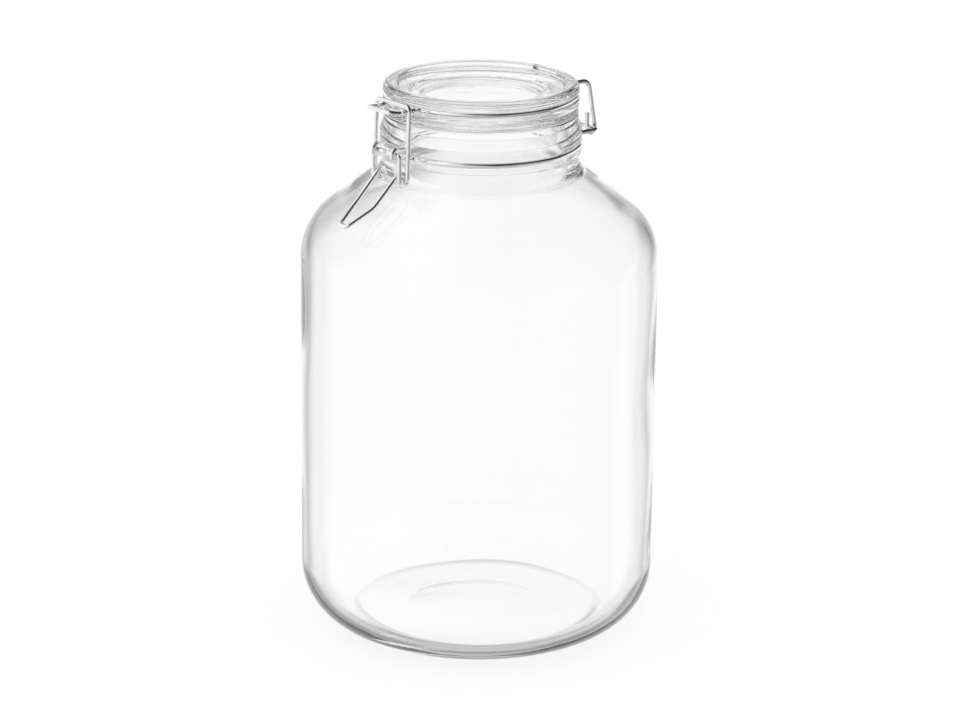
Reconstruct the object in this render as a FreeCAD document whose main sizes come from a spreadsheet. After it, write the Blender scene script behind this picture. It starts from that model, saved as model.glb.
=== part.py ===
import FreeCAD, Part
import math
import os
import Sketcher
from FreeCAD import Placement, Rotation, Vector

# Lidded glass canister with a wire clamp. Millimetres, +Z up, origin on the surface
# under the jar's axis. The clamp is at -Y and the lid's hinge at +Y.

# Driving dimensions: name, value, meaning
DIMENSIONS = (
    # Jar
    ("body_diameter", 182.0, "outside of the straight wall"),
    ("body_height", 211.0, "base to where wall and shoulder slope would meet"),
    ("wall", 4.0, "glass thickness of the straight wall"),
    ("heel_radius", 32.0, "outside rounding between wall and base"),
    ("heel_lining", 27.5, "inside rounding between wall and floor"),
    ("heel_lining_height", 12.2, "height where wall and floor rounding would meet"),
    ("foot_inset", 37.0, "wall to the inner edge of the foot ring"),
    ("push_up", 2.6, "hollow under the middle of the base"),
    ("push_up_edge", 1.0, "hollow where its slanted side ends"),
    ("push_up_slant", 18.0, "width of the slanted side of the hollow"),
    ("floor_inset", 25.5, "outside wall to the ring where the inside floor ends"),
    ("floor_edge", 6.0, "inside floor height at that ring"),
    ("floor_crown", 8.0, "inside floor height in the middle"),
    ("floor_round", 10.0, "rounding between heel lining and inside floor"),
    ("shoulder_rise", 32.5, "shoulder slope from the wall's end up to the neck"),
    ("shoulder_radius", 31.0, "outside rounding between wall and shoulder"),
    ("shoulder_lining", 27.0, "inside rounding between wall and shoulder"),
    ("shoulder_drop", 5.0, "upright glass thickness of the shoulder"),
    ("neck_diameter", 99.0, "outside of the plain neck"),
    ("neck_radius", 12.0, "outside rounding between shoulder and neck"),
    ("neck_lining", 10.0, "inside rounding between shoulder and neck"),
    ("neck_rise", 12.0, "shoulder's end up to the middle of the neck wire"),
    ("bead_proud", 1.3, "bead under the neck wire beyond the neck"),
    ("bead_width", 3.0, "height of that bead"),
    ("collar_proud", 1.6, "collar over the neck wire beyond the neck"),
    ("collar_width", 5.6, "height of that collar"),
    ("collar_taper", 5.5, "height over which the collar narrows to the rim"),
    ("rim_step", 0.3, "rim's outside within the neck"),
    ("finish_rise", 16.5, "middle of the neck wire up to the rim"),
    ("rim_land", 6.7, "width of the rim's sealing face"),
    ("rim_round", 1.1, "rounding of the rim's edges"),
    ("edge_round", 0.5, "rounding of small glass edges"),
    # Seal and lid
    ("seal_thickness", 3.0, "rubber ring, closed"),
    ("seal_inset", 0.2, "rubber ring's outside within the rim"),
    ("seal_reach", 5.5, "rubber ring's inside beyond the bore"),
    ("seal_round", 0.7, "rounding of the rubber ring's edges"),
    ("lid_overhang", 0.3, "lid's outside beyond the rim"),
    ("lid_crown", 11.6, "lid's seat up to its top"),
    ("lid_wire_rise", 5.5, "lid's seat up to the middle of the lid wire"),
    ("lid_edge_radius", 3.3, "rounding of the lid's top outer edge"),
    ("lid_rim_width", 6.6, "width of the lid's raised rim"),
    ("lid_rim_drop", 2.6, "raised rim down to the ledge inside it"),
    ("lid_rim_slant", 1.6, "width of the rim's slanted inner side"),
    ("lid_ledge_width", 8.0, "ledge between the raised rim and the dish"),
    ("lid_ledge_fall", 0.7, "fall of the ledge towards the dish"),
    ("lid_dish_drop", 1.9, "ledge down to the dish"),
    ("lid_dish_slant", 0.9, "width of the dish's slanted side"),
    ("lid_soft_edge", 1.2, "rounding of the raised rim's inner edges"),
    ("plug_play", 0.4, "gap between plug and rubber ring"),
    ("plug_depth", 4.0, "plug below the lid's seat"),
    ("plug_wall", 5.0, "width of the plug's bottom face"),
    ("plug_slant", 2.4, "width of the plug's slanted inner side"),
    ("lid_hollow", 4.5, "plug's bottom up to the hollow under the lid"),
    # Wires and their fits
    ("ring_wire", 2.4, "thickness of the neck and lid wires"),
    ("bail_wire", 2.4, "thickness of the bail"),
    ("lever_wire", 2.3, "thickness of the lever"),
    ("groove_play", 0.1, "gap between a ring wire and the bottom of its groove"),
    ("groove_room", 0.3, "height of a groove beyond its wire"),
    ("neck_wire_proud", 0.58, "neck wire's outside beyond the bead"),
    ("lid_wire_inset", 0.1, "lid's outside beyond the lid wire"),
    ("pivot_play", 0.25, "gap round a wire that turns in an eye"),
    ("coil_play", 0.55, "gap round the bail's end in the lever's coil"),
    ("side_play", 0.3, "gap between wires that pass side by side"),
    ("ring_bend", 3.0, "bend where a ring wire turns outwards"),
    ("leg_bend", 2.5, "bend where the neck wire turns out to its eyes"),
    ("tight_bend", 1.6, "bend of the lever's and the bail's ends"),
    # Clamp
    ("eye_spread", 7.6, "middle plane to an eye of the neck wire"),
    ("eye_reach", 11.5, "plain neck out to the lever's axle"),
    ("eye_rise", 3.8, "neck wire up to the lever's axle"),
    ("eye_tail", 4.5, "axle back to the cut end of the eye"),
    ("axle_gap", 0.35, "middle plane to the cut end of the lever's axle, beyond half a wire"),
    ("arm_drop", 13.0, "lever's axle down to its coil"),
    ("coil_gap", 0.55, "gap between neighbouring turns of the coil"),
    ("handle_bend_out", 16.8, "coil out to the handle's bend"),
    ("handle_bend_drop", 12.2, "coil down to the handle's bend"),
    ("handle_bend_spread", 7.0, "middle plane to the handle's bend"),
    ("handle_bend_radius", 14.0, "rounding of the handle's bend"),
    ("handle_tip_out", 30.1, "coil out to the handle's tip"),
    ("handle_tip_drop", 20.3, "coil down to the handle's tip"),
    ("handle_tip_spread", 2.7, "half the width of the handle's tip"),
    ("handle_tip_radius", 2.4, "rounding of the handle's tip"),
    ("bail_stand_off", 7.4, "lid's outside out to the bail's bar"),
    ("bail_slack", 0.65, "gap between the bail's bar and the lid wire"),
    ("bail_corner", 2.6, "bend of the bail's upper corners"),
    ("bail_end", 5.0, "middle plane to the cut end of the bail"),
    ("nose_spread", 9.3, "middle plane to a leg of the lid wire's nose"),
    ("nose_reach", 9.2, "bail's bar out to the nose's front"),
    ("nose_level", 4.5, "bail's bar out to where the nose turns up"),
    ("nose_lift", 1.0, "nose's front above the lid wire"),
    # Hinge
    ("hinge_reach", 12.5, "plain neck out to the hinge bar"),
    ("hinge_spread", 19.0, "half the length of the hinge bar"),
    ("hinge_bend", 2.6, "bend at the ends of the hinge bar"),
    ("hook_spread", 14.0, "middle plane to a hook"),
    ("hook_run", 0.033, "straight run under the hinge bar, between a hook's two bends"),
    ("hook_lean", 5.4, "hook's foot further out than its top"),
    ("hook_bend", 5.0, "bend at the top of a hook"),
    ("hook_tail", 8.5, "hinge bar up to the cut end of a hook"),
)

RING_ARCS = 4
SAMPLE_STEP = 0.25
LEAST_SELF_GAP = 0.4
VOLUME_TOLERANCE = 0.01
SHORTEST_RUN = 1e-6


class Size:
    """A length together with the sheet expression that drives it."""

    def __init__(self, value, text):
        self.value = value
        self.text = text

    def joined(self, sign, other, value):
        return Size(value, f"({self.text} {sign} {as_size(other).text})")

    def __add__(self, other):
        return self.joined("+", other, self.value + as_size(other).value)

    def __sub__(self, other):
        return self.joined("-", other, self.value - as_size(other).value)

    def __mul__(self, other):
        return self.joined("*", other, self.value * as_size(other).value)

    def __truediv__(self, other):
        return self.joined("/", other, self.value / as_size(other).value)


def as_size(number):
    return number if isinstance(number, Size) else Size(number, repr(number))


class Sizes:
    """The sheet's dimensions, each one an attribute."""

    def __init__(self, document):
        sheet = document.addObject("Spreadsheet::Sheet", "Dimensions")
        for row, (name, value, meaning) in enumerate(DIMENSIONS, start=1):
            sheet.set(f"A{row}", meaning)
            sheet.set(f"B{row}", str(value))
            sheet.setAlias(f"B{row}", name)
            setattr(self, name, Size(value, f"Dimensions.{name}"))
        document.recompute()


def rounded_corner(before, corner, after, radius):
    """Entry, middle and exit of the tangent arc that rounds a corner."""
    back = (before - corner).normalize()
    ahead = (after - corner).normalize()
    half_turn = (math.pi - back.getAngle(ahead)) / 2
    cut = radius * math.tan(half_turn)
    inwards = (back + ahead).normalize()
    centre = corner + inwards * (radius / math.cos(half_turn))
    return corner + back * cut, centre - inwards * radius, corner + ahead * cut


# Turned glass and rubber

def hold_point(sketch, geometry, across, up):
    """Tie a point to its distance from the axis and its height."""
    if across.value == 0:
        sketch.addConstraint(Sketcher.Constraint("PointOnObject", geometry, 1, -2))
    else:
        rule = Sketcher.Constraint("DistanceX", -1, 1, geometry, 1, across.value)
        sketch.setExpression(f"Constraints[{sketch.addConstraint(rule)}]", across.text)
    if up.value == 0:
        sketch.addConstraint(Sketcher.Constraint("PointOnObject", geometry, 1, -1))
    else:
        rule = Sketcher.Constraint("DistanceY", -1, 1, geometry, 1, up.value)
        sketch.setExpression(f"Constraints[{sketch.addConstraint(rule)}]", up.text)


def add_arc(sketch, entry, middle, leave):
    """An arc from entry to leave, and which of its ends is the entry."""
    circle = Part.Arc(entry, middle, leave).toShape().Curve
    centre = circle.Center
    first = math.atan2(entry.y - centre.y, entry.x - centre.x)
    last = math.atan2(leave.y - centre.y, leave.x - centre.x)
    left_turn = (middle - entry).cross(leave - middle).z > 0
    if not left_turn:
        first, last = last, first
    if last < first:
        last += 2 * math.pi
    upright = Part.Circle(centre, Vector(0, 0, 1), circle.Radius)
    arc = sketch.addGeometry(Part.ArcOfCircle(upright, first, last))
    return arc, (1, 2) if left_turn else (2, 1)


def draw_outline(sketch, corners):
    """A closed outline; each corner is its distance from the axis, height and rounding."""
    count = len(corners)
    spots = [Vector(across.value, up.value, 0) for across, up, rounding in corners]
    cuts = []
    for index, (across, up, rounding) in enumerate(corners):
        around = (spots[index - 1], spots[index], spots[(index + 1) % count])
        cuts.append(rounded_corner(*around, rounding.value) if rounding else (spots[index],) * 3)
    sides = []
    for index in range(count):
        side = Part.LineSegment(cuts[index][2], cuts[(index + 1) % count][0])
        sides.append(sketch.addGeometry(side))
    for index, (across, up, rounding) in enumerate(corners):
        before, after = sides[index - 1], sides[index]
        if rounding is None:
            sketch.addConstraint(Sketcher.Constraint("Coincident", before, 2, after, 1))
            hold_point(sketch, after, across, up)
            continue
        arc, (entry_end, leave_end) = add_arc(sketch, *cuts[index])
        sketch.addConstraint(Sketcher.Constraint("Tangent", before, 2, arc, entry_end))
        sketch.addConstraint(Sketcher.Constraint("Tangent", arc, leave_end, after, 1))
        rule = Sketcher.Constraint("Radius", arc, rounding.value)
        sketch.setExpression(f"Constraints[{sketch.addConstraint(rule)}]", rounding.text)
        corner = sketch.addGeometry(Part.Point(spots[index]), True)
        sketch.addConstraint(Sketcher.Constraint("PointOnObject", corner, 1, before))
        sketch.addConstraint(Sketcher.Constraint("PointOnObject", corner, 1, after))
        hold_point(sketch, corner, across, up)


def turned_piece(document, label, corners, base_height=None):
    """A body turned from an outline about the jar's axis."""
    body = document.addObject("PartDesign::Body", label)
    body.Label = label
    sketch = body.newObject("Sketcher::SketchObject", f"{label}_outline")
    plane = next(item for item in body.Origin.OriginFeatures if item.Role == "XZ_Plane")
    sketch.AttachmentSupport = [(plane, "")]
    sketch.MapMode = "FlatFace"
    draw_outline(sketch, corners)
    document.recompute()
    turning = body.newObject("PartDesign::Revolution", f"{label}_turning")
    turning.Profile = sketch
    turning.ReferenceAxis = (sketch, ["V_Axis"])
    turning.Angle = 360
    if base_height:
        body.setExpression("Placement.Base.z", base_height.text)
    return body


def jar_body(document, d, closure):
    axis = Size(0, "0")
    ground = Size(0, "0")
    outside = d.body_diameter / 2
    neck = closure.neck
    foot = outside - d.foot_inset
    slope = d.shoulder_rise / (outside - neck)
    half_slot = (d.ring_wire + d.groove_room) / 2
    slot_low = closure.neck_wire_height - half_slot
    slot_high = closure.neck_wire_height + half_slot
    groove = closure.neck_ring - d.ring_wire / 2 - d.groove_play
    bead_low = slot_low - d.bead_width
    bead_foot = bead_low - d.bead_proud
    collar_top = slot_high + d.collar_width
    shoulder_end = closure.shoulder_end
    rim = closure.rim
    rim_height = closure.rim_height
    bore = closure.bore
    lining = outside - d.wall
    corners = [
        (axis, d.push_up, None),
        (foot - d.push_up_slant, d.push_up_edge, d.rim_round),
        (foot, ground, d.rim_round),
        (outside, ground, d.heel_radius),
        (outside, d.body_height, d.shoulder_radius),
        (neck, shoulder_end, d.neck_radius),
        (neck, bead_foot, d.rim_round),
        (neck + d.bead_proud, bead_low, d.rim_round),
        (neck + d.bead_proud, slot_low, d.edge_round),
        (groove, slot_low, d.rim_round),
        (groove, slot_high, d.rim_round),
        (neck + d.collar_proud, slot_high, d.edge_round),
        (neck + d.collar_proud, collar_top, d.rim_round),
        (rim, collar_top + d.collar_taper, d.rim_round),
        (rim, rim_height, d.rim_round),
        (bore, rim_height, d.rim_round),
        (bore, shoulder_end + slope * (neck - bore) - d.shoulder_drop, d.neck_lining),
        (lining, d.body_height + slope * d.wall - d.shoulder_drop, d.shoulder_lining),
        (lining, d.heel_lining_height, d.heel_lining),
        (outside - d.floor_inset, d.floor_edge, d.floor_round),
        (axis, d.floor_crown, None),
    ]
    return turned_piece(document, "jar_body", corners)


class Closure:
    """Heights and distances from the axis that the clamp's pieces share."""

    def __init__(self, d):
        self.neck = d.neck_diameter / 2
        self.rim = self.neck - d.rim_step
        self.bore = self.rim - d.rim_land
        self.shoulder_end = d.body_height + d.shoulder_rise
        self.neck_wire_height = self.shoulder_end + d.neck_rise
        self.neck_ring = self.neck + d.bead_proud + d.neck_wire_proud - d.ring_wire / 2
        self.rim_height = self.neck_wire_height + d.finish_rise
        self.seat = self.rim_height + d.seal_thickness
        self.lid_edge = self.rim + d.lid_overhang
        self.lid_wire_height = self.seat + d.lid_wire_rise
        self.lid_ring = self.lid_edge - d.lid_wire_inset - d.ring_wire / 2
        self.axle_out = self.neck + d.eye_reach
        self.axle_height = self.neck_wire_height + d.eye_rise
        self.eye_radius = d.lever_wire / 2 + d.pivot_play + d.ring_wire / 2
        self.arm_spread = d.eye_spread + d.ring_wire / 2 + d.pivot_play + d.lever_wire / 2
        self.coil_radius = d.bail_wire / 2 + d.coil_play + d.lever_wire / 2
        self.coil_out = self.axle_out - self.coil_radius
        self.coil_height = self.axle_height - d.arm_drop
        self.bail_spread = self.arm_spread + d.lever_wire / 2 + d.side_play + d.bail_wire / 2
        self.bar_out = self.lid_edge + d.bail_stand_off
        self.bar_height = self.lid_wire_height + d.ring_wire / 2 + d.bail_slack + d.bail_wire / 2
        self.hinge_out = self.neck + d.hinge_reach
        self.hook_radius = d.ring_wire + d.pivot_play


def seal(document, d, closure):
    inside = closure.bore - d.seal_reach
    outside = closure.rim - d.seal_inset
    bottom = Size(0, "0")
    corners = [
        (inside, bottom, d.seal_round),
        (outside, bottom, d.seal_round),
        (outside, d.seal_thickness, d.seal_round),
        (inside, d.seal_thickness, d.seal_round),
    ]
    return turned_piece(document, "gasket", corners, closure.rim_height)


def lid(document, d, closure):
    axis = Size(0, "0")
    bottom = Size(0, "0")
    plug = closure.bore - d.seal_reach - d.plug_play
    hollow = plug - d.plug_wall
    seat = d.plug_depth
    edge = closure.lid_edge
    wire_height = seat + d.lid_wire_rise
    half_slot = (d.ring_wire + d.groove_room) / 2
    groove = closure.lid_ring - d.ring_wire / 2 - d.groove_play
    crown = seat + d.lid_crown
    rim_inside = edge - d.lid_rim_width
    ledge_out = rim_inside - d.lid_rim_slant
    ledge_in = ledge_out - d.lid_ledge_width
    ledge_out_height = crown - d.lid_rim_drop
    ledge_in_height = ledge_out_height - d.lid_ledge_fall
    dish_height = ledge_in_height - d.lid_dish_drop
    corners = [
        (axis, d.lid_hollow, None),
        (hollow - d.plug_slant, d.lid_hollow, d.lid_soft_edge),
        (hollow, bottom, d.lid_soft_edge),
        (plug, bottom, d.lid_soft_edge),
        (plug, seat, None),
        (edge, seat, d.rim_round),
        (edge, wire_height - half_slot, d.edge_round),
        (groove, wire_height - half_slot, d.rim_round),
        (groove, wire_height + half_slot, d.rim_round),
        (edge, wire_height + half_slot, d.edge_round),
        (edge, crown, d.lid_edge_radius),
        (rim_inside, crown, d.lid_soft_edge),
        (ledge_out, ledge_out_height, d.lid_soft_edge),
        (ledge_in, ledge_in_height, d.edge_round),
        (ledge_in - d.lid_dish_slant, dish_height, d.edge_round),
        (axis, dish_height, None),
    ]
    return turned_piece(document, "lid", corners, closure.seat - d.plug_depth)


# Bent wires

def bent_line(bends):
    """Straight runs joined by tangent arcs; each bend is a point and its radius."""
    edges = []
    start = bends[0][0]
    for (before, _), (corner, radius), (after, _) in zip(bends, bends[1:], bends[2:]):
        entry, middle, leave = rounded_corner(before, corner, after, radius)
        if (entry - start).Length > SHORTEST_RUN:
            edges.append(Part.LineSegment(start, entry).toShape())
        edges.append(Part.Arc(entry, middle, leave).toShape())
        start = leave
    edges.append(Part.LineSegment(start, bends[-1][0]).toShape())
    return Part.Wire(edges)


def both_sides(bends):
    """The bends at +X, from the middle plane's far end, joined to their mirror at -X."""
    mirrored = [(Vector(-point.x, point.y, point.z), radius) for point, radius in bends]
    return bends + mirrored[::-1]


def ring_bends(radius, height, first, last):
    """Bends of a ring's arc, from one angle to another, measured from -Y towards +X."""
    step = (last - first) / RING_ARCS
    reach = radius / math.cos(step / 2)
    angles = [first + step * (index + 0.5) for index in range(RING_ARCS)]
    return [(Vector(reach * math.sin(a), -reach * math.cos(a), height), radius) for a in angles]


def leaving_angle(spread, ring, bend):
    """Angle where a ring is left, so that the bend into a leg at that spread has room."""
    return math.asin((spread + bend) / ring)


def leaving_corner(spread, ring, angle, height):
    """Where the ring's tangent at an angle from -Y meets a leg at that spread."""
    run = (ring * math.sin(angle) - spread) / math.cos(angle)
    return Vector(spread, -ring * math.cos(angle) - run * math.sin(angle), height)


def to_hinge_side(point):
    return Vector(point.x, -point.y, point.z)


def self_gap(path, thickness):
    """Least gap between stretches of one wire that are far apart along it."""
    count = int(path.Length / SAMPLE_STEP)
    points = path.discretize(Number=count)
    apart = int(math.pi * thickness / SAMPLE_STEP)
    nearest = min(
        points[i].distanceToPoint(points[j])
        for i in range(count)
        for j in range(i + apart, count, 2)
    )
    return nearest - thickness


def bent_wire(document, label, bends, thickness):
    """One unbroken round wire along its bends."""
    path = document.addObject("Part::Feature", f"{label}_path")
    path.Shape = bent_line(bends)
    section = document.addObject("Part::Circle", f"{label}_section")
    section.setExpression("Radius", f"{thickness.text} / 2")
    start = bends[0][0]
    heading = bends[1][0] - start
    section.Placement = Placement(start, Rotation(Vector(0, 0, 1), heading))
    wire = document.addObject("Part::Sweep", label)
    wire.Label = label
    wire.Sections = [section]
    wire.Spine = (path, [f"Edge{index + 1}" for index in range(len(path.Shape.Edges))])
    wire.Solid = True
    wire.Frenet = False
    document.recompute()
    full = math.pi * thickness.value ** 2 / 4 * path.Shape.Length
    if abs(wire.Shape.Volume / full - 1) > VOLUME_TOLERANCE:
        raise ValueError(f"{label}: volume {wire.Shape.Volume:.1f} but its length asks for {full:.1f}")
    gap = self_gap(path.Shape, thickness.value)
    print(f"{label}: length {path.Shape.Length:.1f} mm, least gap to itself {gap:.2f} mm")
    if gap < LEAST_SELF_GAP:
        raise ValueError(f"{label} touches itself")
    return wire


def neck_wire(document, d, closure):
    """Ring in the neck's groove, with two open eyes in front and the hinge bar behind."""
    ring = closure.neck_ring.value
    height = closure.neck_wire_height.value
    bend = d.ring_bend.value
    spread = d.eye_spread.value
    eye = closure.eye_radius.value
    axle_out = closure.axle_out.value
    axle_height = closure.axle_height.value
    front = leaving_angle(spread, ring, bend)
    rear = leaving_angle(d.hinge_spread.value, ring, bend)
    leg = leaving_corner(spread, ring, front, height)
    clear_of_collar = leg.y - bend
    rear_corner = to_hinge_side(leaving_corner(d.hinge_spread.value, ring, rear, height))
    hinge_corner = Vector(d.hinge_spread.value, closure.hinge_out.value, height)
    bends = [
        (Vector(spread, -axle_out + d.eye_tail.value, axle_height + eye), 0),
        (Vector(spread, -axle_out - eye, axle_height + eye), eye),
        (Vector(spread, -axle_out - eye, axle_height - eye), eye),
        (Vector(spread, -axle_out + d.tight_bend.value, axle_height - eye), bend),
        (Vector(spread, clear_of_collar, height), bend),
        (leg, d.leg_bend.value),
        *ring_bends(ring, height, front, math.pi - rear),
        (rear_corner, bend),
        (hinge_corner, d.hinge_bend.value),
    ]
    return bent_wire(document, "neck_wire", both_sides(bends), d.ring_wire)


def lid_wire(document, d, closure):
    """Ring in the lid's groove, with the nose in front and two hooks round the hinge bar."""
    ring = closure.lid_ring.value
    height = closure.lid_wire_height.value
    bend = d.ring_bend.value
    hinge_out = closure.hinge_out.value
    hinge_height = closure.neck_wire_height.value
    hook = closure.hook_radius.value
    hook_spread = d.hook_spread.value
    spread = d.nose_spread.value
    nose_out = closure.bar_out.value + d.nose_reach.value
    level_out = closure.bar_out.value + d.nose_level.value
    front = leaving_angle(spread, ring, bend)
    rear = leaving_angle(hook_spread, ring, bend)
    rear_corner = to_hinge_side(leaving_corner(hook_spread, ring, rear, height))
    hook_turn = math.pi / 2 + math.atan2(d.hook_lean.value, height - hinge_height + hook)
    hook_foot = hinge_out + d.hook_run.value + hook * math.tan(hook_turn / 2)
    hook_top = hook_foot - d.hook_lean.value
    bends = [
        (Vector(hook_spread, hinge_out - hook, hinge_height + d.hook_tail.value), 0),
        (Vector(hook_spread, hinge_out - hook, hinge_height - hook), hook),
        (Vector(hook_spread, hook_foot, hinge_height - hook), hook),
        (Vector(hook_spread, hook_top, height), d.hook_bend.value),
        (rear_corner, bend),
        *ring_bends(ring, height, front, math.pi - rear)[::-1],
        (leaving_corner(spread, ring, front, height), bend),
        (Vector(spread, -level_out, height), bend),
        (Vector(spread, -nose_out, height + d.nose_lift.value), bend),
    ]
    return bent_wire(document, "lid_wire", both_sides(bends), d.ring_wire)


def bail(document, d, closure):
    """Upright loop over the nose, with its ends turned in through the lever's coils."""
    spread = closure.bail_spread.value
    coil_out = closure.coil_out.value
    coil_height = closure.coil_height.value
    bends = [
        (Vector(d.bail_end.value, -coil_out, coil_height), 0),
        (Vector(spread, -coil_out, coil_height), d.tight_bend.value),
        (Vector(spread, -closure.bar_out.value, closure.bar_height.value), d.bail_corner.value),
    ]
    return bent_wire(document, "bail", both_sides(bends), d.bail_wire)


def lever(document, d, closure):
    """Axle ends in the eyes, an arm and a coil on each side, and the handle."""
    axle_out = closure.axle_out.value
    axle_height = closure.axle_height.value
    coil = closure.coil_radius.value
    coil_out = closure.coil_out.value
    coil_height = closure.coil_height.value
    arm = closure.arm_spread.value
    pitch = d.lever_wire.value + d.coil_gap.value
    bend_out = coil_out + d.handle_bend_out.value
    bend_height = coil_height - d.handle_bend_drop.value
    tip_out = coil_out + d.handle_tip_out.value
    tip_height = coil_height - d.handle_tip_drop.value
    fall = math.atan2(coil + d.handle_bend_drop.value, d.handle_bend_out.value)
    last_corner = coil * math.tan(fall / 2)
    turn = coil - SHORTEST_RUN
    axle_end = d.lever_wire.value / 2 + d.axle_gap.value

    def coil_bend(out, up, share):
        return Vector(arm - pitch * share, -coil_out - out, coil_height + up), turn

    bends = [
        (Vector(axle_end, -axle_out, axle_height), 0),
        (Vector(arm, -axle_out, axle_height), d.tight_bend.value),
        coil_bend(coil, -coil, 0),
        coil_bend(-coil, -coil, 1 / 3),
        coil_bend(-coil, coil, 2 / 3),
        coil_bend(last_corner, coil, 1),
        (Vector(d.handle_bend_spread.value, -bend_out, bend_height), d.handle_bend_radius.value),
        (Vector(d.handle_tip_spread.value, -tip_out, tip_height), d.handle_tip_radius.value),
    ]
    return bent_wire(document, "lever", both_sides(bends), d.lever_wire)


def main():
    document = FreeCAD.newDocument("canister")
    d = Sizes(document)
    closure = Closure(d)
    pieces = [
        jar_body(document, d, closure),
        seal(document, d, closure),
        lid(document, d, closure),
        neck_wire(document, d, closure),
        lid_wire(document, d, closure),
        bail(document, d, closure),
        lever(document, d, closure),
    ]
    document.recompute()
    for item in document.Objects:
        if "Invalid" in item.State or "Error" in item.State:
            raise ValueError(f"{item.Label} failed: {item.State}")
    for piece in pieces:
        if piece.Shape.isNull() or not piece.Shape.isValid():
            raise ValueError(f"{piece.Label} has no valid shape")
    os.makedirs("parts", exist_ok=True)
    for piece in pieces:
        piece.Shape.exportStep(f"parts/{piece.Label}.step")
        print(f"{piece.Label}: {piece.Shape.Volume / 1000:.2f} cm3, {len(piece.Shape.Solids)} solid")


main()
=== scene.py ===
import math

import bmesh
import bpy
from bpy.props import FloatProperty, FloatVectorProperty, IntProperty, PointerProperty
from mathutils import Matrix, Vector


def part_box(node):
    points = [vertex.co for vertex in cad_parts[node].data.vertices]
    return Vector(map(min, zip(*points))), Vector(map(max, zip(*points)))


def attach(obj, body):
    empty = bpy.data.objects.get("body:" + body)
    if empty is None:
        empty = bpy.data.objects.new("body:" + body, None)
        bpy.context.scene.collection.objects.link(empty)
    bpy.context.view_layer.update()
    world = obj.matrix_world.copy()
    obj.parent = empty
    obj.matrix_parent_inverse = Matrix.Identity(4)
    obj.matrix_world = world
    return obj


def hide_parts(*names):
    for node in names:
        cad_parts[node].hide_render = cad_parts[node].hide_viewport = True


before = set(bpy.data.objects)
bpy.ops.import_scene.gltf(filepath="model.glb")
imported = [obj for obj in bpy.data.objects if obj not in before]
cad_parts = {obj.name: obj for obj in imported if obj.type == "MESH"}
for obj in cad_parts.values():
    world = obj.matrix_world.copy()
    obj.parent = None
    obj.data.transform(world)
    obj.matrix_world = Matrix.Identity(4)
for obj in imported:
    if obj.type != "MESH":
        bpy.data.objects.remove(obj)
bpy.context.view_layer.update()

bl_info = {
    "name": "Clamp-lid glass canister",
    "version": (1, 0, 0),
    "blender": (4, 5, 0),
    "location": "View3D > Sidebar > Canister",
    "description": "Dresses the packed canister in glass, rubber and bright wire",
    "category": "Object",
}

# The photograph's width in pixels and the camera sensor's in millimetres
PHOTO_WIDTH = 960
SENSOR_WIDTH = 36.0

MM = 0.001
UP = Vector((0, 0, 1))

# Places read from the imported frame
JAR_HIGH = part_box("jar_body")[1]
LID_LOW, LID_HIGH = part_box("lid")
SEAL_LOW, SEAL_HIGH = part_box("gasket")


def length(value, name, description):
    """A size in metres, given in millimetres."""
    return FloatProperty(
        name=name, description=description, default=value * MM, unit="LENGTH", precision=5
    )


def share(value, name, description):
    """A part of a whole, from nothing to one."""
    return FloatProperty(
        name=name, description=description, default=value, min=0.0, max=1.0, subtype="FACTOR"
    )


def number(value, name, description):
    """A plain number without a unit."""
    return FloatProperty(name=name, description=description, default=value)


def angle(degrees, name, description):
    """A turn, given in degrees."""
    return FloatProperty(
        name=name, description=description, default=math.radians(degrees), subtype="ANGLE"
    )


def colour(value, name, description):
    """A colour, as shares of red, green and blue."""
    return FloatVectorProperty(
        name=name, description=description, default=value, size=3, min=0.0, max=1.0, subtype="COLOR"
    )


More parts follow.
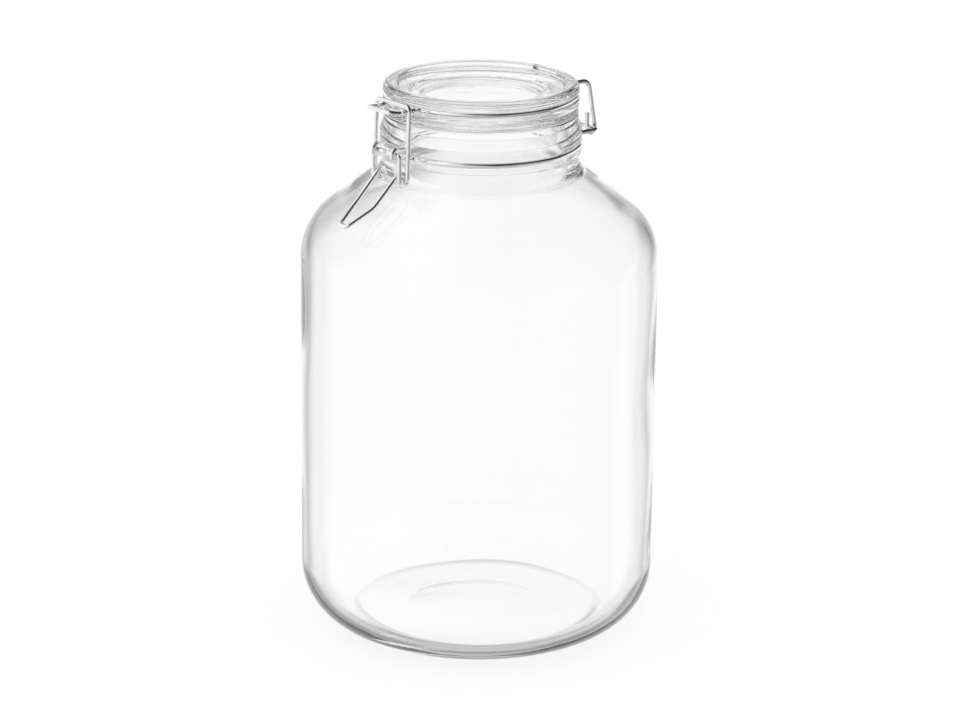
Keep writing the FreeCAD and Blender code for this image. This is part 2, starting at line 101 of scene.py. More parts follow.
class JarSizes(bpy.types.PropertyGroup):
    """Outline of the glass jar."""

    shoulder_height: length(211.0, "Wall height", "Base to where wall and shoulder slope would meet")
    wall: length(4.0, "Wall", "Glass thickness of the straight wall")
    heel_radius: length(32.0, "Heel", "Outside rounding between wall and base")
    heel_lining: length(27.5, "Heel lining", "Inside rounding between wall and floor")
    heel_lining_height: length(12.2, "Heel lining height", "Where wall and floor rounding would meet")
    foot_inset: length(37.0, "Foot inset", "Wall to the inner edge of the foot ring")
    push_up: length(2.6, "Push-up", "Hollow under the middle of the base")
    push_up_edge: length(1.0, "Push-up edge", "Hollow where its slanted side ends")
    push_up_slant: length(18.0, "Push-up slant", "Width of the hollow's slanted side")
    floor_inset: length(25.5, "Floor inset", "Wall to the ring where the inside floor ends")
    floor_edge: length(6.0, "Floor edge", "Inside floor height at that ring")
    floor_crown: length(8.0, "Floor crown", "Inside floor height in the middle")
    floor_round: length(10.0, "Floor rounding", "Rounding between heel lining and inside floor")
    shoulder_rise: length(32.5, "Shoulder rise", "Shoulder slope from the wall's end to the neck")
    shoulder_radius: length(31.0, "Shoulder", "Outside rounding between wall and shoulder")
    shoulder_lining: length(27.0, "Shoulder lining", "Inside rounding between wall and shoulder")
    shoulder_drop: length(5.0, "Shoulder glass", "Upright glass thickness of the shoulder")
    neck_diameter: length(99.0, "Neck", "Outside of the plain neck")
    neck_radius: length(12.0, "Neck rounding", "Outside rounding between shoulder and neck")
    neck_lining: length(10.0, "Neck lining", "Inside rounding between shoulder and neck")
    neck_rise: length(12.0, "Neck rise", "Shoulder's end to the middle of the neck wire")
    groove_radius: length(48.88, "Groove", "Bottom of the neck wire's groove")
    groove_width: length(2.7, "Groove width", "Height of the neck wire's groove")
    bead_proud: length(1.3, "Bead", "Bead under the neck wire beyond the neck")
    bead_width: length(3.0, "Bead width", "Height of that bead")
    collar_proud: length(1.6, "Collar", "Collar over the neck wire beyond the neck")
    collar_width: length(5.6, "Collar width", "Height of that collar")
    collar_taper: length(5.5, "Collar taper", "Height over which the collar narrows to the rim")
    rim_step: length(0.3, "Rim step", "Rim's outside within the neck")
    rim_land: length(6.7, "Rim land", "Width of the rim's sealing face")
    rim_round: length(1.1, "Rim rounding", "Rounding of the rim's edges")
    edge_round: length(0.5, "Edge rounding", "Rounding of small glass edges")
    around: IntProperty(name="Around", description="Faces round the jar", default=360)


class LidSizes(bpy.types.PropertyGroup):
    """Outline of the glass lid."""

    plug_radius: length(36.6, "Plug", "Outside of the plug")
    plug_depth: length(4.0, "Plug depth", "Plug below the lid's seat")
    plug_wall: length(5.0, "Plug wall", "Width of the plug's bottom face")
    plug_slant: length(2.4, "Plug slant", "Width of the plug's slanted inner side")
    hollow: length(4.5, "Hollow", "Plug's bottom up to the hollow under the lid")
    wire_rise: length(5.5, "Wire rise", "Lid's seat to the middle of the lid wire")
    groove_radius: length(46.9, "Groove", "Bottom of the lid wire's groove")
    groove_width: length(2.7, "Groove width", "Height of the lid wire's groove")
    edge_radius: length(3.3, "Edge", "Rounding of the lid's top outer edge")
    rim_width: length(6.6, "Rim width", "Width of the raised rim")
    rim_drop: length(2.6, "Rim drop", "Raised rim down to the ledge inside it")
    rim_slant: length(1.6, "Rim slant", "Width of the rim's slanted inner side")
    ledge_width: length(8.0, "Ledge width", "Ledge between the raised rim and the dish")
    ledge_fall: length(0.7, "Ledge fall", "Fall of the ledge towards the dish")
    dish_drop: length(1.9, "Dish drop", "Ledge down to the dish")
    dish_slant: length(0.9, "Dish slant", "Width of the dish's slanted side")
    soft_edge: length(1.2, "Soft edge", "Rounding of the rim's inner edges")
    rim_round: length(1.1, "Rim rounding", "Rounding of the seat's outer edge")
    edge_round: length(0.5, "Edge rounding", "Rounding of small glass edges")
    around: IntProperty(name="Around", description="Faces round the lid", default=300)


class SealSizes(bpy.types.PropertyGroup):
    """Outline and finish of the rubber ring."""

    clearance: length(0.04, "Clearance", "Gap that keeps rubber and glass faces apart")
    rib_height: length(0.1, "Rib height", "Height of the moulded ribs on the outer edge")
    ribs: IntProperty(name="Ribs", description="Moulded ribs on the outer edge", default=3)
    edge_round: length(0.7, "Edge rounding", "Rounding of the ring's edges")
    around: IntProperty(name="Around", description="Faces round the ring", default=240)
    tint: colour((0.985, 0.985, 0.98), "Rubber", "Colour of the rubber")
    clearness: share(0.97, "Clearness", "Share of light that passes into the rubber")
    roughness: share(0.08, "Roughness", "Roughness of the rubber")


class GlassFinish(bpy.types.PropertyGroup):
    """Clear glass and its traces of moulding."""

    tint: colour((1.0, 1.0, 1.0), "Glass", "Colour of the glass surface")
    # Painted shade: the colour that the glass is darkened to where it is seen edge on
    painted_edge_shade: colour((0.87, 0.875, 0.88), "Painted edge shade", "Colour of the glass where it is seen edge on")
    body_tint: colour((0.45, 0.465, 0.47), "Depth tint", "Colour that thick glass keeps")
    density: number(1.6, "Density", "How strongly thick glass darkens, per metre")
    ior: number(1.5, "Index", "Index of refraction")
    ripple: length(0.16, "Ripple", "Unevenness of the inside wall")
    floor_ripple: length(0.5, "Floor ripple", "Unevenness of the ring round the inside floor")
    seam: length(0.07, "Seam", "Height of the mould seam")
    seam_width: length(1.1, "Seam width", "Width of the mould seam")
    seam_turn: angle(139.7, "Seam angle", "Where the mould seams are, from the clamp towards +X")
    stipple: length(0.16, "Stipple", "Height of the grip marks round the foot")
    stipples: IntProperty(name="Stipples", description="Grip marks round the foot", default=120)


class WireFinish(bpy.types.PropertyGroup):
    """Bright drawn wire."""

    tint: colour((0.93, 0.93, 0.935), "Wire", "Colour of the bright wire")
    worn_tint: colour((0.80, 0.80, 0.81), "Dull wire", "Colour where the wire is duller")
    line_size: number(900.0, "Line size", "Fineness of the drawn lines")


class StageSettings(bpy.types.PropertyGroup):
    """Camera, light and floor."""

    azimuth: angle(49.74, "Azimuth", "Camera's turn from the clamp towards +X")
    distance: length(1856.4, "Distance", "Camera from the jar's axis, level")
    height: length(731.1, "Height", "Camera above the floor")
    pitch: angle(17.685, "Pitch", "Camera's downward tilt")
    roll: angle(0.612, "Roll", "Camera's lean")
    yaw: angle(-0.025, "Yaw", "Camera's turn away from the axis")
    focal: number(3790.4, "Focal length", "Focal length in pixels of the photograph")
    floor_radius: length(6000.0, "Floor", "Radius of the floor")
    floor_tint: colour((0.97, 0.97, 0.97), "Floor colour", "Colour of the floor")
    floor_shade: share(0.2, "Floor shade", "Share of the object's shadow that the floor shows")
    fill_level: share(1.0, "Fill light", "Brightness of the light from all round")
    key_power: number(6.0, "Key light", "Power of the soft light overhead")
    backdrop_turn: angle(3.5, "Backdrop turn", "Middle of the backdrop to the right of the line of sight")
    dark_level: share(0.22, "Dark backdrop", "Brightness of the backdrop's darkest places")
    room_level: share(0.03, "Room", "Brightness that bright pieces mirror between the softboxes")


# Turned pieces

LONGEST_STEP = 5.0 * MM
ARC_STEP = 1.1 * MM
LEAST_ARC_STEPS = 5
EDGE_SUPPORT = 0.3 * MM
SHORTEST_RUN = 3 * EDGE_SUPPORT

# Waves in the glass: how many go round, radians per metre along the outline, start and share of the height
WALL_WAVES = ((2, 40.0, 0.0, 1.0), (5, -65.0, 1.3, 0.6))
FLOOR_WAVES = ((3, 0.0, 0.7, 1.0), (7, 0.0, 0.0, 0.5))
LID_WAVES = ((3, 180.0, 0.0, 1.0), (5, -240.0, 0.0, 0.7))
WALL_WAVE_FADE = 20 * MM
FLOOR_WAVE_REACH = 6 * MM
FLOOR_WAVE_FADE = 5 * MM
LID_WAVE_START = 4 * MM
LID_WAVE_FADE = 6 * MM
# Ripple of the lid as a share of the jar's
LID_RIPPLE = 0.15

# Mould seams, grip marks and ribs
SEAM_STEEPNESS = 4
SEAM_FADE = 8 * MM
GRIP_START = 8 * MM
GRIP_END = 15 * MM
GRIP_FADE = 1.5 * MM
RIB_REACH = 0.2 * MM
RIB_FADE = 0.1 * MM


def rounded_corner(before, corner, after, radius):
    """Points of the tangent arc that rounds a corner."""
    back = (before - corner).normalized()
    ahead = (after - corner).normalized()
    half_turn = (math.pi - back.angle(ahead)) / 2
    inwards = (back + ahead).normalized()
    centre = corner + inwards * (radius / math.cos(half_turn))
    first = corner + back * (radius * math.tan(half_turn)) - centre
    steps = max(LEAST_ARC_STEPS, math.ceil(2 * half_turn * radius / ARC_STEP))
    side = 1 if first.cross(-inwards) > 0 else -1
    points = []
    for index in range(steps + 1):
        turn = side * 2 * half_turn * index / steps
        swung = Vector((
            first.x * math.cos(turn) - first.y * math.sin(turn),
            first.x * math.sin(turn) + first.y * math.cos(turn),
        ))
        points.append(centre + swung)
    return points


def straight_run(start, end):
    """Points between two ends, with one close to each end so that shading stays even."""
    run = end - start
    if run.length < SHORTEST_RUN:
        return []
    near = start + run.normalized() * EDGE_SUPPORT
    far = end - run.normalized() * EDGE_SUPPORT
    steps = max(1, math.ceil((far - near).length / LONGEST_STEP))
    return [near.lerp(far, index / steps) for index in range(steps + 1)]


def outline(corners):
    """The outline's points; each corner is its distance from the axis, height and rounding."""
    spots = [Vector((across, up)) for across, up, rounding in corners]
    arcs = []
    for index, (across, up, rounding) in enumerate(corners):
        if rounding:
            after = spots[(index + 1) % len(spots)]
            arcs.append(rounded_corner(spots[index - 1], spots[index], after, rounding))
        else:
            arcs.append([spots[index]])
    points = []
    for index, arc in enumerate(arcs):
        points += arc
        following = arcs[(index + 1) % len(arcs)]
        on_axis = arc[-1].x == 0 and following[0].x == 0
        if not on_axis:
            points += straight_run(arc[-1], following[0])
    return points


def turned_mesh(name, points, around, place):
    """A closed mesh turned about the axis; place moves each point by its own rule."""
    shape = bmesh.new()
    rings = []
    for spot, (across, up) in enumerate(points):
        if across == 0:
            rings.append([shape.verts.new((0, 0, up))] * around)
            continue
        ring = []
        for index in range(around):
            turn = 2 * math.pi * index / around
            out, high = place(spot, across, up, turn)
            ring.append(shape.verts.new((out * math.sin(turn), -out * math.cos(turn), high)))
        rings.append(ring)
    for low, high in zip(rings, rings[1:] + rings[:1]):
        if low[0] is low[1] and high[0] is high[1]:
            continue
        for index in range(around):
            beyond = (index + 1) % around
            corners = (low[index], low[beyond], high[beyond], high[index])
            shape.faces.new(list(dict.fromkeys(corners)))
    bmesh.ops.recalc_face_normals(shape, faces=shape.faces)
    for face in shape.faces:
        face.smooth = True
    mesh = bpy.data.meshes.new(name)
    shape.to_mesh(mesh)
    shape.free()
    return mesh


def turned_piece(name, points, around, place, material, node, body):
    """A turned piece that stands for a CAD node and moves with its body."""
    mesh = turned_mesh(name, points, around, place)
    mesh.materials.append(material)
    piece = bpy.data.objects.new(name, mesh)
    bpy.context.scene.collection.objects.link(piece)
    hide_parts(node)
    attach(piece, body)
    return piece


def smooth(part):
    """A share that leaves nothing and reaches one gently."""
    part = min(1.0, max(0.0, part))
    return part * part * (3 - 2 * part)


def window(value, low, high, soft):
    """One between two limits, falling smoothly to nothing over a soft width."""
    return smooth((value - low) / soft) * smooth((high - value) / soft)


def unevenness(waves, turn, along):
    """Height of the waves at a turn about the axis and a distance along the outline."""
    return sum(part * math.sin(count * turn + rate * along + start) for count, rate, start, part in waves)


def domed(part, rise):
    """What turns a straight slope up to the axis into a dome; part is the share of its radius."""
    return rise * part * (1 - part) if part < 1 else 0


# Materials

# Part of a noise's range that is spread between two limits
NOISE_LOW = 0.3
NOISE_HIGH = 0.7

# Glass: where its painted edge shade begins and is full, its smears, its faint waves and the lamp light it
# lets through
GLASS_NAME = "canister_glass"
EDGE_SHADE_START = 0.5
EDGE_SHADE_FULL = 0.85
SMEAR_ROUGHNESS = 0.012
WAVE_STRETCH = (1.0, 1.0, 0.45)
WAVE_DEPTH = 0.6 * MM
PASSED_LIGHT = (0.93, 0.935, 0.935, 1.0)

# Rubber: its index of refraction, the share of its colour left in clouds, how far its roughness falls and
# rises, and its grain
RUBBER_IOR = 1.42
CLOUD_TINT = 0.93
RUBBER_SMOOTHER = 0.05
RUBBER_ROUGHER = 0.08
GRAIN_DEPTH = 0.02 * MM

# Wire: the most that patches are worn, its roughness and its drawn lines
MOST_WEAR = 0.6
WIRE_SMOOTHEST = 0.05
WIRE_ROUGHEST = 0.12
LINE_DEPTH = 0.03 * MM


def new_material(name):
    """An empty material made of nodes."""
    material = bpy.data.materials.new(name)
    material.use_nodes = True
    material.node_tree.nodes.clear()
    return material


def add_node(tree, kind, **values):
    """A node whose named inputs are set."""
    node = tree.nodes.new(kind)
    for name, value in values.items():
        node.inputs[name.replace("_", " ")].default_value = value
    return node


def calculate(tree, operation, first, second=None):
    """A result from a linked value and, where one is needed, a number or a second linked value."""
    node = tree.nodes.new("ShaderNodeMath")
    node.operation = operation
    tree.links.new(first, node.inputs[0])
    if isinstance(second, float):
        node.inputs[1].default_value = second
    elif second is not None:
        tree.links.new(second, node.inputs[1])
    return node.outputs["Value"]


def seen_rays(tree, kinds):
    """One for the named kinds of ray, nothing for the rest."""
    path = tree.nodes.new("ShaderNodeLightPath")
    total = path.outputs[kinds[0]]
    for kind in kinds[1:]:
        total = calculate(tree, "MAXIMUM", total, path.outputs[kind])
    return total


def mix_shaders(tree, factor, first, second):
    """A blend of two shaders."""
    mix = tree.nodes.new("ShaderNodeMixShader")
    for index, source in enumerate((factor, first, second)):
        tree.links.new(source, mix.inputs[index])
    return mix.outputs["Shader"]


def show_surface(tree, shader):
    """The material's output, showing a shader."""
    output = tree.nodes.new("ShaderNodeOutputMaterial")
    tree.links.new(shader, output.inputs["Surface"])
    return output


def mix_colours(tree, factor, first, second):
    """A blend of two colours, each of them set or linked."""
    mix = tree.nodes.new("ShaderNodeMix")
    mix.data_type = "RGBA"
    tree.links.new(factor, mix.inputs["Factor"])
    for socket, value in (("A", first), ("B", second)):
        if isinstance(value, tuple):
            mix.inputs[socket].default_value = value
        else:
            tree.links.new(value, mix.inputs[socket])
    return mix.outputs["Result"]


def noise(tree, scale, detail, stretch=(1.0, 1.0, 1.0)):
    """Noise in the object's own space."""
    spot = tree.nodes.new("ShaderNodeTexCoord")
    mapping = add_node(tree, "ShaderNodeMapping", Scale=stretch)
    tree.links.new(spot.outputs["Object"], mapping.inputs["Vector"])
    texture = add_node(tree, "ShaderNodeTexNoise", Scale=scale, Detail=detail)
    tree.links.new(mapping.outputs["Vector"], texture.inputs["Vector"])
    return texture.outputs["Fac"]


def spread(tree, source, low, high, source_low=NOISE_LOW, source_high=NOISE_HIGH):
    """A value spread between two limits."""
    mapped = add_node(
        tree, "ShaderNodeMapRange", From_Min=source_low, From_Max=source_high, To_Min=low, To_Max=high
    )
    tree.links.new(source, mapped.inputs["Value"])
    return mapped.outputs["Result"]


def relief(tree, source, depth, strength):
    """Surface relief from a noise value."""
    bump = add_node(tree, "ShaderNodeBump", Strength=strength, Distance=depth)
    tree.links.new(source, bump.inputs["Height"])
    return bump.outputs["Normal"]


def clear_glass(finish):
    """Fire-polished glass that darkens with depth, with painted shade where it is seen edge on, and lets
    lamps through.
    """
    material = new_material(GLASS_NAME)
    tree = material.node_tree
    glass = add_node(tree, "ShaderNodeBsdfPrincipled", IOR=finish.ior, Transmission_Weight=1.0)
    # Painted shade: the glass colour darkens towards the edge shade where the surface is seen edge on
    facing = add_node(tree, "ShaderNodeLayerWeight", Blend=0.5)
    edge = spread(tree, facing.outputs["Facing"], 0.0, 1.0, EDGE_SHADE_START, EDGE_SHADE_FULL)
    tone = mix_colours(tree, edge, (*finish.tint, 1.0), (*finish.painted_edge_shade, 1.0))
    tree.links.new(tone, glass.inputs["Base Color"])
    smears = noise(tree, scale=26.0, detail=3.0)
    tree.links.new(spread(tree, smears, 0.0, SMEAR_ROUGHNESS), glass.inputs["Roughness"])
    waves = noise(tree, scale=34.0, detail=1.0, stretch=WAVE_STRETCH)
    tree.links.new(relief(tree, waves, WAVE_DEPTH, strength=0.12), glass.inputs["Normal"])
    lamp_path = add_node(tree, "ShaderNodeBsdfTransparent", Color=PASSED_LIGHT)
    shadow = seen_rays(tree, ("Is Shadow Ray",))
    surface = mix_shaders(tree, shadow, glass.outputs["BSDF"], lamp_path.outputs["BSDF"])
    output = show_surface(tree, surface)
    depth_tint = (*finish.body_tint, 1.0)
    depth = add_node(tree, "ShaderNodeVolumeAbsorption", Color=depth_tint, Density=finish.density)
    tree.links.new(depth.outputs["Volume"], output.inputs["Volume"])
    return material


def seal_rubber(sizes):
    """Translucent satin silicone, a little cloudy."""
    material = new_material("seal_rubber")
    tree = material.node_tree
    rubber = add_node(tree, "ShaderNodeBsdfPrincipled", IOR=RUBBER_IOR, Transmission_Weight=sizes.clearness)
    clouds = noise(tree, scale=90.0, detail=4.0)
    cloudy = [part * CLOUD_TINT for part in sizes.tint]
    tone = mix_colours(tree, clouds, (*sizes.tint, 1.0), (*cloudy, 1.0))
    tree.links.new(tone, rubber.inputs["Base Color"])
    rough = spread(tree, clouds, sizes.roughness - RUBBER_SMOOTHER, sizes.roughness + RUBBER_ROUGHER)
    tree.links.new(rough, rubber.inputs["Roughness"])
    grain = noise(tree, scale=1800.0, detail=2.0)
    tree.links.new(relief(tree, grain, GRAIN_DEPTH, strength=0.15), rubber.inputs["Normal"])
    show_surface(tree, rubber.outputs["BSDF"])
    return material


def bright_wire(finish):
    """Drawn wire, bright with fine lines and duller patches."""
    material = new_material("drawn_wire")
    tree = material.node_tree
    wire = add_node(tree, "ShaderNodeBsdfPrincipled", Metallic=1.0)
    patches = noise(tree, scale=140.0, detail=4.0)
    worn = spread(tree, patches, 0.0, MOST_WEAR)
    tone = mix_colours(tree, worn, (*finish.tint, 1.0), (*finish.worn_tint, 1.0))
    tree.links.new(tone, wire.inputs["Base Color"])
    tree.links.new(spread(tree, patches, WIRE_SMOOTHEST, WIRE_ROUGHEST), wire.inputs["Roughness"])
    lines = noise(tree, scale=finish.line_size, detail=3.0)
    tree.links.new(relief(tree, lines, LINE_DEPTH, strength=0.25), wire.inputs["Normal"])
    show_surface(tree, wire.outputs["BSDF"])
    return material


def shared_glass(finish):
    """The one glass that jar and lid share."""
    return bpy.data.materials.get(GLASS_NAME) or clear_glass(finish)


# Pieces

class CANISTER_OT_jar(bpy.types.Operator):
    """Turn the glass jar, with its ripples, mould seams and grip marks"""

    bl_idname = "canister.jar"
    bl_label = "Jar"

    def execute(self, context):
        sizes = context.scene.canister_jar
        finish = context.scene.canister_glass
        outside = JAR_HIGH.x
        neck = sizes.neck_diameter / 2
        foot = outside - sizes.foot_inset
        hollow = foot - sizes.push_up_slant
        slope = sizes.shoulder_rise / (outside - neck)
        shoulder_end = sizes.shoulder_height + sizes.shoulder_rise
        wire_height = shoulder_end + sizes.neck_rise
        slot_low = wire_height - sizes.groove_width / 2
        slot_high = wire_height + sizes.groove_width / 2
        bead = neck + sizes.bead_proud
        bead_low = slot_low - sizes.bead_width
        collar = neck + sizes.collar_proud
        collar_top = slot_high + sizes.collar_width
        rim = neck - sizes.rim_step
        bore = rim - sizes.rim_land
        lining = outside - sizes.wall
        floor_ring = outside - sizes.floor_inset
        bore_foot = shoulder_end + slope * (neck - bore) - sizes.shoulder_drop
        lining_top = sizes.shoulder_height + slope * sizes.wall - sizes.shoulder_drop
        corners = [
            (0, sizes.push_up, None),
            (hollow, sizes.push_up_edge, sizes.rim_round),
            (foot, 0, sizes.rim_round),
            (outside, 0, sizes.heel_radius),
            (outside, sizes.shoulder_height, sizes.shoulder_radius),
            (neck, shoulder_end, sizes.neck_radius),
            (neck, bead_low - sizes.bead_proud, sizes.rim_round),
            (bead, bead_low, sizes.rim_round),
            (bead, slot_low, sizes.edge_round),
            (sizes.groove_radius, slot_low, sizes.rim_round),
            (sizes.groove_radius, slot_high, sizes.rim_round),
            (collar, slot_high, sizes.edge_round),
            (collar, collar_top, sizes.rim_round),
            (rim, collar_top + sizes.collar_taper, sizes.rim_round),
            (rim, JAR_HIGH.z, sizes.rim_round),
            (bore, JAR_HIGH.z, sizes.rim_round),
            (bore, bore_foot, sizes.neck_lining),
            (lining, lining_top, sizes.shoulder_lining),
            (lining, sizes.heel_lining_height, sizes.heel_lining),
            (floor_ring, sizes.floor_edge, sizes.floor_round),
            (0, sizes.floor_crown, None),
        ]
        points = outline(corners)
        inside_from = max(index for index, point in enumerate(points) if point.y >= JAR_HIGH.z)
        seam_low = sizes.heel_radius / 2
        grip_high = sizes.heel_radius / 4
        grip_band = (foot + GRIP_START, foot + GRIP_END)
        ring_band = (floor_ring - FLOOR_WAVE_REACH, floor_ring + FLOOR_WAVE_REACH)

        def lining_place(across, up, turn):
            fade = window(up, sizes.floor_edge, bore_foot, WALL_WAVE_FADE) if across > floor_ring else 0
            wall_wave = finish.ripple * unevenness(WALL_WAVES, turn, up) * fade
            ring = window(across, *ring_band, FLOOR_WAVE_FADE)
            ring_wave = finish.floor_ripple * unevenness(FLOOR_WAVES, turn, across) * ring
            dome = domed(across / floor_ring, sizes.floor_crown - sizes.floor_edge)
            return across + wall_wave + ring_wave, up + dome

        def place(spot, across, up, turn):
            if spot > inside_from:
                return lining_place(across, up, turn)
            if across < hollow:
                return across, up + domed(across / hollow, sizes.push_up - sizes.push_up_edge)
            lift = 0
            if up < grip_high:
                mark = (1 + math.cos(finish.stipples * turn)) / 2
                lift = finish.stipple * mark * window(across, *grip_band, GRIP_FADE)
            seam = 0
            if seam_low < up < shoulder_end:
                offset = math.sin(turn - finish.seam_turn) * across / finish.seam_width
                ridge = math.exp(-SEAM_STEEPNESS * offset * offset)
                seam = finish.seam * ridge * window(up, seam_low, shoulder_end, SEAM_FADE)
            return across + seam, up + lift

        glass = shared_glass(finish)
        turned_piece("glass_jar", points, sizes.around, place, glass, "jar_body", "jar")
        return {"FINISHED"}


class CANISTER_OT_lid(bpy.types.Operator):
    """Turn the glass lid, with its raised rim, ledge, dish and plug"""

    bl_idname = "canister.lid"
    bl_label = "Lid"

    def execute(self, context):
        sizes = context.scene.canister_lid
        finish = context.scene.canister_glass
        bottom = LID_LOW.z
        top = LID_HIGH.z
        edge = LID_HIGH.x
        seat = bottom + sizes.plug_depth
        hollow = sizes.plug_radius - sizes.plug_wall
        ceiling = bottom + sizes.hollow
        slot_low = seat + sizes.wire_rise - sizes.groove_width / 2
        slot_high = seat + sizes.wire_rise + sizes.groove_width / 2
        rim_inside = edge - sizes.rim_width
        ledge_out = rim_inside - sizes.rim_slant
        ledge_in = ledge_out - sizes.ledge_width
        ledge_high = top - sizes.rim_drop
        ledge_low = ledge_high - sizes.ledge_fall
        dish = ledge_low - sizes.dish_drop
        corners = [
            (0, ceiling, None),
            (hollow - sizes.plug_slant, ceiling, sizes.soft_edge),
            (hollow, bottom, sizes.soft_edge),
            (sizes.plug_radius, bottom, sizes.soft_edge),
            (sizes.plug_radius, seat, None),
            (edge, seat, sizes.rim_round),
            (edge, slot_low, sizes.edge_round),
            (sizes.groove_radius, slot_low, sizes.rim_round),
            (sizes.groove_radius, slot_high, sizes.rim_round),
            (edge, slot_high, sizes.edge_round),
            (edge, top, sizes.edge_radius),
            (rim_inside, top, sizes.soft_edge),
            (ledge_out, ledge_high, sizes.soft_edge),
            (ledge_in, ledge_low, sizes.edge_round),
            (ledge_in - sizes.dish_slant, dish, sizes.edge_round),
            (0, dish, None),
        ]

        def place(spot, across, up, turn):
            fade = window(across, LID_WAVE_START, rim_inside, LID_WAVE_FADE)
            return across, up + finish.ripple * LID_RIPPLE * unevenness(LID_WAVES, turn, across) * fade

        glass = shared_glass(finish)
        turned_piece("glass_lid", outline(corners), sizes.around, place, glass, "lid", "lid")
        return {"FINISHED"}


class CANISTER_OT_seal(bpy.types.Operator):
    """Mould the rubber ring, with ribs round its outer edge"""

    bl_idname = "canister.seal"
    bl_label = "Seal"

    def execute(self, context):
        sizes = context.scene.canister_seal
        outside = SEAL_HIGH.x
        thickness = SEAL_HIGH.z - SEAL_LOW.z
        inside = min(
            math.hypot(vertex.co.x, vertex.co.y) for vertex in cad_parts["gasket"].data.vertices
        )
        low = SEAL_LOW.z + sizes.clearance
        high = SEAL_HIGH.z - sizes.clearance
        corners = [
            (inside, low, sizes.edge_round),
            (outside, low, sizes.edge_round),
            (outside, high, sizes.edge_round),
            (inside, high, sizes.edge_round),
        ]
        points = outline(corners)

        def place(spot, across, up, turn):
            height = (up - SEAL_LOW.z) / thickness
            outer = window(across, outside - RIB_REACH, outside + RIB_REACH, RIB_FADE)
            rib = math.cos(2 * math.pi * sizes.ribs * height)
            return across + sizes.rib_height * (rib - 1) / 2 * outer, up

        rubber = seal_rubber(sizes)
        turned_piece("rubber_seal", points, sizes.around, place, rubber, "gasket", "lid")
        return {"FINISHED"}


class CANISTER_OT_wires(bpy.types.Operator):
    """Give the four bent wires their bright drawn finish"""

    bl_idname = "canister.wires"
    bl_label = "Wires"

    def execute(self, context):
        material = bright_wire(context.scene.canister_wire)
        for name in ("neck_wire", "lid_wire", "bail", "lever"):
            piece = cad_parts[name]
            piece.data.materials.clear()
            piece.data.materials.append(material)
        return {"FINISHED"}


# Stage

HALF_TURN = 180
WHITE = (1.0, 1.0, 1.0, 1.0)
BLACK = (0.0, 0.0, 0.0, 1.0)

# Most bounces of light: through glass and in all, off mirrors, and through clear surfaces
GLASS_BOUNCES = 28
MIRROR_BOUNCES = 8
CLEAR_BOUNCES = 24

# How far the camera sees, in metres, and the floor's sides and its gap below the object
VIEW_REACH = 100
FLOOR_SIDES = 96
FLOOR_GAP = 0.2 * MM

# The lamp overhead, in metres: its sides, its place, its turn from the camera and the point it is aimed at
LAMP_WIDTH = 1.4
LAMP_DEPTH = 1.0
LAMP_OUT = 0.7
LAMP_HEIGHT = 1.7
LAMP_TURN = math.radians(35)
LAMP_AIM = Vector((0, 0, 0.15))


def pool(level, full, gone):
    """Brightness by degrees: even as far as one angle, and faded to nothing at another."""
    return (0, level), (full, level), (gone, 0.0), (HALF_TURN, 0.0)


# Brightness that clear pieces see, by degrees from straight behind the object
BACKDROP_LEVELS = (
    (0, 1.0), (13, 1.0), (18, 0.93), (23, 0.7), (28, 0.47), (34, 0.5), (41, 0.8), (52, 0.97), (180, 0.97),
)
# How far the backdrop turns white above the horizon, by degrees from straight up
SKY_LEVELS = pool(1.0, 86, 97)
# How far it darkens near the horizon, by degrees from straight up, but only on both sides of the object, by
# degrees from straight right, and only behind it, by degrees from straight behind
HORIZON_SHADES = (
    (0, 0.0), (74, 0.0), (82, 0.6), (90, 0.95), (98, 0.95), (101, 0.6), (104, 0.25), (107, 0.0), (180, 0.0),
)
SIDE_SHADES = (
    (0, 1.0), (75, 1.0), (79, 0.9), (82, 0.5), (84.5, 0.0), (95.5, 0.0), (98, 0.5), (101, 0.9), (105, 1.0),
    (180, 1.0),
)
BEHIND_SHADES = pool(1.0, 40, 55)
# How far it darkens towards the floor, by degrees from straight down
FLOOR_SHADES = ((0, 0.5), (25, 0.5), (35, 0.25), (45, 0.08), (52, 0.0), (180, 0.0))
# Softboxes that bright pieces mirror: where each one is, as shares to the right, towards the camera and up,
# and its brightness by degrees from there
SOFTBOXES = {
    "high left": ((-0.75, 0.0, 0.65), pool(1.0, 30, 44)),
    "left": ((-1.0, 0.0, 0.1), ((0, 1.0), (50, 1.0), (66, 0.5), (80, 0.0), (180, 0.0))),
    "overhead": ((0.0, 0.0, 1.0), pool(0.03, 40, 55)),
    "low right, near": ((0.8, 0.5, -0.5), pool(0.35, 28, 45)),
    "low right, far": ((0.75, -0.6, -0.35), pool(1.0, 22, 34)),
    "below": ((0.0, 0.0, -1.0), pool(0.3, 30, 50)),
    "behind": ((0.0, -1.0, 0.0), pool(1.0, 20, 28)),
    "low behind": ((-0.25, -1.0, -0.5), pool(1.0, 36, 48)),
    "in front": ((-0.35, 0.9, -0.3), pool(0.6, 30, 45)),
}


def view_direction(settings):
    """The camera's level heading and its line of sight."""
    bearing = settings.azimuth + settings.yaw
    ahead = Vector((-math.sin(bearing), math.cos(bearing), 0))
    return ahead, ahead * math.cos(settings.pitch) - Vector((0, 0, math.sin(settings.pitch)))


def seen_from_camera(settings, right, near, high):
    """The direction that lies to the camera's right, towards it and up, by these shares."""
    ahead = view_direction(settings)[0]
    return (ahead.cross(UP) * right - ahead * near + UP * high).normalized()


def angle_from(tree, direction, axis):
    """Angle between a direction and an axis, as a share of a half turn."""
    dot = tree.nodes.new("ShaderNodeVectorMath")
    dot.operation = "DOT_PRODUCT"
    dot.inputs[1].default_value = axis
    tree.links.new(direction, dot.inputs[0])
    turn = calculate(tree, "ARCCOSINE", dot.outputs["Value"])
    return calculate(tree, "DIVIDE", turn, math.pi)


def grey(level):
    """A grey of this brightness."""
    return (level, level, level, 1.0)


